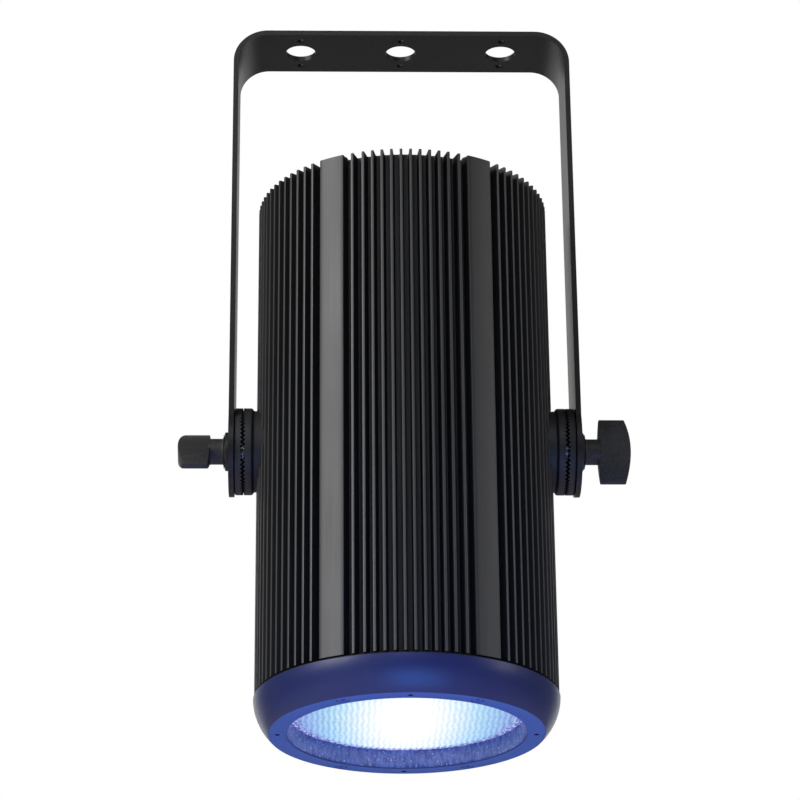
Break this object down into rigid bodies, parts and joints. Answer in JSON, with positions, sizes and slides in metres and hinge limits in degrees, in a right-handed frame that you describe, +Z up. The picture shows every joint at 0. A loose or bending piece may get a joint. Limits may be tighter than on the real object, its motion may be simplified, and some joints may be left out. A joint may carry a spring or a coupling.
{
  "type": "par can light",
  "caption": "Finned cylindrical LED par can with a rounded front ring and moulded lens, hung in a U-shaped strap yoke with toothed tilt discs and two clamping knobs.",
  "frame": {"origin": "centre of the yoke bar's top face, on the middle hanging hole's axis", "axes": "+Z up, from the lamp through the yoke bar; +X along the tilt axis, from the left leg to the right; the lens faces -Z at rest"},
  "size_m": [0.2146, 0.141, 0.3578],
  "materials": {
    "black_anodised": "matte black anodised extrusion",
    "black_powder_coat": "satin black powder coat on steel strap",
    "black_cover_coat": "satin black powder coat on aluminium",
    "blue_satin_paint": "satin blue coat on a turned aluminium ring",
    "black_cast_metal": "matte black die-cast discs",
    "black_textured_plastic": "fine spark-eroded texture",
    "black_plastic": "moulded nylon",
    "black_rubber": "black sealing rubber",
    "zinc_steel": "bright zinc plate",
    "black_steel": "black oxide",
    "bare_aluminium": "machined",
    "bright_reflector": "bright anodised spun cup",
    "moulded_lens": "clear moulded prismatic lens, lit from behind",
    "yellow_phosphor": "phosphor",
    "white_ceramic": "white ceramic or moulded block",
    "green_board": "solder resist",
    "black_component": "moulded component",
    "yellow_tape": "winding tape over copper and ferrite",
    "red_insulation": "wire insulation",
    "black_insulation": "wire insulation"
  },
  "bodies": {
    "yoke": {"yoke": "black_powder_coat", "yoke_rosette_left": "black_cast_metal", "yoke_rosette_right": "black_cast_metal"},
    "lamp": {"bezel_gasket": "black_rubber", "bezel_screw_1": "black_steel", "bezel_screw_2": "black_steel", "bezel_screw_3": "black_steel", "bezel_screw_4": "black_steel", "board_rail_left": "black_plastic", "board_rail_right": "black_plastic", "body_rosette_left": "black_cast_metal", "body_rosette_right": "black_cast_metal", "bracket_screw_left": "zinc_steel", "bracket_screw_right": "zinc_steel", "bulk_capacitor": "black_component", "cover_screw_1": "black_steel", "cover_screw_2": "black_steel", "cover_screw_3": "black_steel", "cover_screw_4": "black_steel", "driver_board": "green_board", "driver_bracket": "zinc_steel", "filter_choke": "black_component", "front_bezel": "blue_satin_paint", "gland_body": "black_plastic", "gland_locknut": "black_plastic", "gland_nut": "black_plastic", "gland_seal": "black_rubber", "heat_spreader": "bare_aluminium", "heatsink_body": "black_anodised", "holder_screw_back": "zinc_steel", "holder_screw_front": "zinc_steel", "led_board": "white_ceramic", "led_emitter": "yellow_phosphor", "led_holder": "black_plastic", "led_lead_black": "black_insulation", "led_lead_red": "red_insulation", "lens": "moulded_lens", "lens_retainer": "black_steel", "lens_seal": "black_rubber", "rear_cover": "black_cover_coat", "rear_gasket": "black_rubber", "reflector": "bright_reflector", "retainer_screw_1": "zinc_steel", "retainer_screw_2": "zinc_steel", "retainer_screw_3": "zinc_steel", "retainer_screw_4": "zinc_steel", "rosette_screw_left_lower": "zinc_steel", "rosette_screw_left_upper": "zinc_steel", "rosette_screw_right_lower": "zinc_steel", "rosette_screw_right_upper": "zinc_steel", "safety_eye": "zinc_steel", "terminal_block": "white_ceramic", "transformer": "yellow_tape", "vent_plug": "black_plastic"},
    "knob_left": {"knob_left": "black_textured_plastic", "knob_stud_left": "zinc_steel", "knob_washer_left": "black_steel"},
    "knob_right": {"knob_right": "black_textured_plastic", "knob_stud_right": "zinc_steel", "knob_washer_right": "black_steel"}
  },
  "joints": [
    {"name": "tilt", "type": "hinge", "parent": "yoke", "child": "lamp", "pos_m": [0, 0, -0.2184], "axis": [1, 0, 0], "range_deg": [-135, 135]},
    {"name": "left_knob_turn", "type": "hinge", "parent": "lamp", "child": "knob_left", "pos_m": [-0.083, 0, -0.2184], "axis": [-1, 0, 0], "continuous": true},
    {"name": "right_knob_turn", "type": "hinge", "parent": "lamp", "child": "knob_right", "pos_m": [0.083, 0, -0.2184], "axis": [1, 0, 0], "continuous": true}
  ]
}
